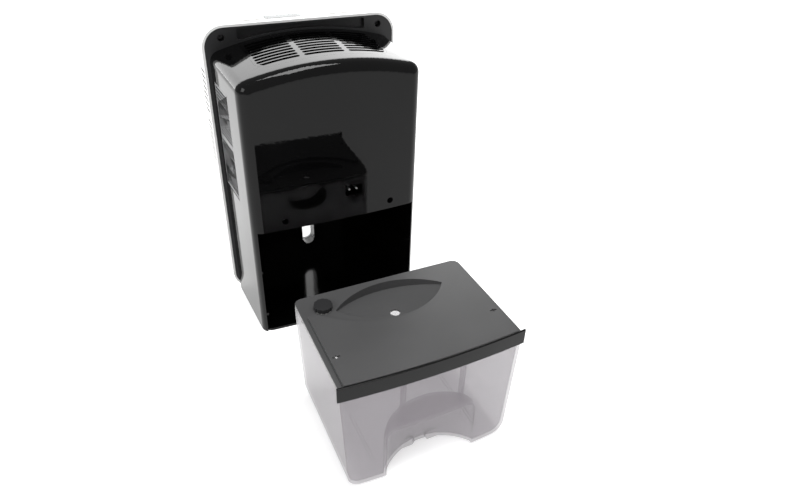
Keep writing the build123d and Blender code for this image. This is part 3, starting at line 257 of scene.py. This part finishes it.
def filterMesh():
    # woven mesh with dust caught in it
    sheet = Finish("filterMesh")
    weave = []
    for axis in ("X", "Y", "Z"):
        wave = sheet.add("ShaderNodeTexWave", {"bands_direction": axis},
                         {"Vector": sheet.place, "Scale": 260.0, "Distortion": 0.0}, "Fac")
        weave.append(wave)
    threads = sheet.add("ShaderNodeMath", {"operation": "MAXIMUM"}, {0: weave[1], 1: weave[2]})
    dust = sheet.noise(60, 5)
    shade = sheet.ramp(threads, 0.35, 0.9) * 0.7 + dust * 0.3
    colour = sheet.blend(shade, (0.05, 0.05, 0.055), (0.42, 0.42, 0.44))
    normal = sheet.bump(threads, 0.6, 0.0003)
    return sheet.output(sheet.shader(colour, dust * 0.2 + 0.6, normal, IOR=1.4))


def circuitBoard():
    # green laminate with tracks showing through the varnish
    sheet = Finish("circuitBoard")
    tracks = sheet.add("ShaderNodeTexBrick", {"offset": 0.5, "squash": 1.6},
                       {"Vector": sheet.place, "Scale": 120.0, "Mortar Size": 0.03, "Bias": 0.0,
                        "Color1": (0.1, 0.1, 0.1, 1), "Color2": (0.6, 0.6, 0.6, 1),
                        "Mortar": (1, 1, 1, 1)}, "Fac")
    cloudy = sheet.noise(30, 4)
    colour = sheet.blend(tracks * 0.6 + cloudy * 0.3, (0.02, 0.10, 0.05), (0.09, 0.30, 0.14))
    normal = sheet.bump(tracks, 0.4, 0.00008)
    return sheet.output(sheet.shader(colour, cloudy * 0.15 + 0.25, normal, IOR=1.5))


materials = {name: plainFinish(name) for name in finishValues}
materials.update({name: metal(name) for name in metalValues})
materials.update(blackGloss=blackGloss("blackGloss", blackGlossValues),
                 bayBlack=blackGloss("bayBlack", bayBlackValues),
                 lidBlack=blackGloss("lidBlack", lidBlackValues),
                 capBlack=blackGloss("capBlack", capBlackValues), blackSatin=blackSatin(),
                 smokyPlastic=smokyPlastic(), clearPlastic=clearPlastic(),
                 filterMesh=filterMesh(), circuitBoard=circuitBoard())

slotFinish = {
    "white_gloss": "whiteGloss", "black_gloss": "blackGloss", "black_satin": "blackSatin",
    "smoky_clear": "smokyPlastic", "clear": "clearPlastic", "grey_plastic": "greyMoulding",
    "rubber_black": "rubber", "silicone": "silicone", "steel": "zincSteel", "brass_pin": "brassPin",
    "aluminium": "aluminium", "ceramic_white": "ceramic", "foam_grey": "foam",
    "filter_mesh": "filterMesh", "board_green": "circuitBoard", "component_black": "component",
    "float_foam": "floatFoam", "lamp_tint": "lamp",
}
nodeFinish = {"tank_bay": "bayBlack", "window_tunnel": "bayBlack", "tank_lid": "lidBlack",
              "intake_grille_left": "meshGrey", "intake_grille_right": "meshGrey",
              "power_button": "buttonGrey", "mode_button": "buttonGrey", "drain_cap": "capBlack",
              "inlet_socket": "bayBlack", "inlet_pins": "zincSteel",
              "flange_screws": "component", "rear_screws": "component"}
nodeSlot = {part["node"]: part["material_slot"] for part in frame["record"]["subparts"]}
nodeBody = {name: body for body, members in frame["record"]["behaviour"]["bodies"].items()
            for name in members}
for name, node in nodes.items():
    finish = materials[nodeFinish.get(name, slotFinish[nodeSlot[name]])]
    for slot in node.material_slots:
        slot.material = finish
    if not node.material_slots:
        node.data.materials.append(finish)
print("materials:", len(materials))


mergeValues = dict(distance=0.000002, flatAngle=0.05)


def copiedPiece(nodeName, pieceName):
    # a merged copy of a node, which rides with its body and stands in for it
    bpy.ops.object.select_all(action="DESELECT")
    source = nodes[nodeName]
    source.select_set(True)
    bpy.context.view_layer.objects.active = source
    bpy.ops.object.duplicate()
    piece = bpy.context.object
    piece.name = pieceName
    bpy.ops.mesh.customdata_custom_splitnormals_clear()
    bpy.ops.object.mode_set(mode="EDIT")
    bpy.ops.mesh.select_all(action="SELECT")
    bpy.ops.mesh.remove_doubles(threshold=mergeValues["distance"])
    bpy.ops.mesh.dissolve_limited(angle_limit=math.radians(mergeValues["flatAngle"]))
    bpy.ops.object.mode_set(mode="OBJECT")
    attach(piece, nodeBody[nodeName])
    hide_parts(nodeName)
    return piece


def roundRim(piece, test, width, segments):
    # rounds only the edges whose two ends pass the test
    mesh = piece.data
    chosen = [test(vertex.co) for vertex in mesh.vertices]
    bpy.ops.object.select_all(action="DESELECT")
    piece.select_set(True)
    bpy.context.view_layer.objects.active = piece
    bpy.ops.object.mode_set(mode="EDIT")
    bpy.ops.mesh.select_mode(type="EDGE")
    bpy.ops.mesh.select_all(action="DESELECT")
    bpy.ops.object.mode_set(mode="OBJECT")
    for edge in mesh.edges:
        edge.select = chosen[edge.vertices[0]] and chosen[edge.vertices[1]]
    bpy.ops.object.mode_set(mode="EDIT")
    bpy.ops.mesh.bevel(offset=width, segments=segments, affect="EDGES", clamp_overlap=True)
    bpy.ops.mesh.select_mode(type="VERT")
    bpy.ops.object.mode_set(mode="OBJECT")


# the finger dish in the rear panel; rear is a depth just inside the panel's outer face
dishValues = dict(x=0.036, z=0.177, halfWidth=0.0225, halfHeight=0.015, rear=0.0745, slack=0.02,
                  rim=0.0016, steps=4)


def onDishRim(point):
    across = ((point.x - dishValues["x"]) / dishValues["halfWidth"]) ** 2
    up = ((point.z - dishValues["z"]) / dishValues["halfHeight"]) ** 2
    return abs(across + up - 1) < dishValues["slack"] and point.y > dishValues["rear"]


roundValues = dict(sharpAngle=35, smoothAngle=50, faceWeight=100)


def roundEdges(piece, width, segments):
    bpy.ops.object.select_all(action="DESELECT")
    piece.select_set(True)
    bpy.context.view_layer.objects.active = piece
    bevel = piece.modifiers.new("roundEdges", "BEVEL")
    bevel.width = width
    bevel.segments = segments
    bevel.limit_method = "ANGLE"
    bevel.angle_limit = math.radians(roundValues["sharpAngle"])
    bevel.miter_outer = "MITER_ARC"
    bpy.ops.object.modifier_apply(modifier=bevel.name)
    bpy.ops.object.shade_smooth_by_angle(angle=math.radians(roundValues["smoothAngle"]))
    flatten = piece.modifiers.new("flatFaces", "WEIGHTED_NORMAL")
    flatten.keep_sharp = True
    flatten.weight = roundValues["faceWeight"]
    bpy.ops.object.modifier_apply(modifier=flatten.name)


# node: piece name, edge radius, steps in the rounding
edgeValues = {
    "outlet_grille": dict(name="outletGrille", width=0.0009, segments=3),
    "intake_grille_left": dict(name="intakeGrilleLeft", width=0.0003, segments=2),
    "intake_grille_right": dict(name="intakeGrilleRight", width=0.0003, segments=2),
    "rear_housing": dict(name="rearHousing", width=0.0005, segments=2),
    "back_frame": dict(name="backFrame", width=0.0004, segments=2),
    "front_cover": dict(name="frontCover", width=0.0005, segments=2),
    "power_button": dict(name="powerButton", width=0.0005, segments=2),
    "mode_button": dict(name="modeButton", width=0.0005, segments=2),
    "tank_lid": dict(name="tankLid", width=0.0006, segments=3),
    "tank_trim": dict(name="tankTrim", width=0.0006, segments=3),
    "tank_bucket": dict(name="tankBucket", width=0.0005, segments=2),
    "drain_cap": dict(name="drainCap", width=0.0004, segments=2),
    "inlet_socket": dict(name="inletSocket", width=0.0003, segments=2),
}
for nodeName, values in edgeValues.items():
    piece = copiedPiece(nodeName, values["name"])
    if nodeName == "rear_housing":
        roundRim(piece, onDishRim, dishValues["rim"], dishValues["steps"])
    roundEdges(piece, values["width"], values["segments"])
    print("piece", piece.name, len(piece.data.polygons), "faces")

# the floor's glow grows from leastGlow at glowStart to full at glowFull, along Y
stageValues = dict(floorSize=14.0, floorShade=0.92, shadeSpread=0.02, world=0.50, glow=1.0,
                   glowStart=0.15, glowFull=-0.35, leastGlow=0.45)


def floorFinish():
    # pale paper, which glows more in front of the object than behind it
    sheet = Finish("paperFloor")
    cloudy = sheet.noise(3, 3)
    shade = stageValues["floorShade"]
    bright = shade + stageValues["shadeSpread"]
    colour = sheet.blend(cloudy, (shade, shade, shade), (bright, bright, bright))
    along = sheet.add("ShaderNodeSeparateXYZ", None, {"Vector": sheet.place}, "Y")
    start, full = stageValues["glowStart"], stageValues["glowFull"]
    lit = sheet.ramp((start - along) * (1 / (start - full)), 0.0, 1.0)
    least = stageValues["leastGlow"]
    glow = sheet.blend(lit, (least, least, least), (1, 1, 1))
    body = sheet.shader(colour, 0.9, None, IOR=1.2, Emission_Strength=stageValues["glow"],
                        Emission_Color=glow)
    return sheet.output(body)


bpy.ops.object.select_all(action="DESELECT")
bpy.ops.mesh.primitive_plane_add(size=stageValues["floorSize"], location=(0, 0, 0))
floor = bpy.context.object
floor.name = "studioFloor"
floor.data.materials.append(floorFinish())

world = bpy.data.worlds.new("studioWorld")
bpy.context.scene.world = world
world.use_nodes = True
world.node_tree.nodes["Background"].inputs["Color"].default_value = (1, 1, 1, 1)
world.node_tree.nodes["Background"].inputs["Strength"].default_value = stageValues["world"]

lampValues = {
    # backWall shows in reflections and lights nothing else
    "backWall": dict(spot=(-0.5, -2.6, 1.4), aim=(-0.5, 0.0, 1.4), size=(4.8, 2.7), power=150,
                     reflectedOnly=True),
    "overhead": dict(spot=(-0.2, 0.5, 2.6), aim=(0.0, 0.2, 0.0), size=(1.0, 1.0), power=38),
    "sideFill": dict(spot=(2.0, 1.2, 1.6), aim=(0.0, 0.15, 0.1), size=(1.2, 1.2), power=20),
}
for name, values in lampValues.items():
    light = bpy.data.lights.new(name, "AREA")
    light.shape = "RECTANGLE"
    light.size, light.size_y = values["size"]
    light.energy = values["power"]
    lamp = bpy.data.objects.new(name, light)
    lamp.visible_diffuse = not values.get("reflectedOnly", False)
    bpy.context.scene.collection.objects.link(lamp)
    spot = Vector(values["spot"])
    aim = Vector(values["aim"]) - spot
    lamp.matrix_world = Matrix.Translation(spot) @ aim.to_track_quat("-Z", "Y").to_matrix().to_4x4()

cameraValues = dict(spot=(0.2056, 0.6549, 0.5167), ahead=(-0.3715, -0.7555, -0.5396), roll=0.034,
                    lens=28.2, shiftX=-0.002, shiftY=-0.022)


def addCamera():
    values = cameraValues
    data = bpy.data.cameras.new("studioLens")
    data.lens = values["lens"]
    data.shift_x = values["shiftX"]
    data.shift_y = values["shiftY"]
    camera = bpy.data.objects.new("studioCamera", data)
    bpy.context.scene.collection.objects.link(camera)
    turn = Vector(values["ahead"]).to_track_quat("-Z", "Y").to_matrix().to_4x4()
    camera.matrix_world = (Matrix.Translation(Vector(values["spot"])) @ turn
                           @ Matrix.Rotation(values["roll"], 4, "Z"))
    bpy.context.scene.camera = camera


addCamera()
bpy.context.scene.view_settings.view_transform = "Standard"
print("stage, light and camera ready")
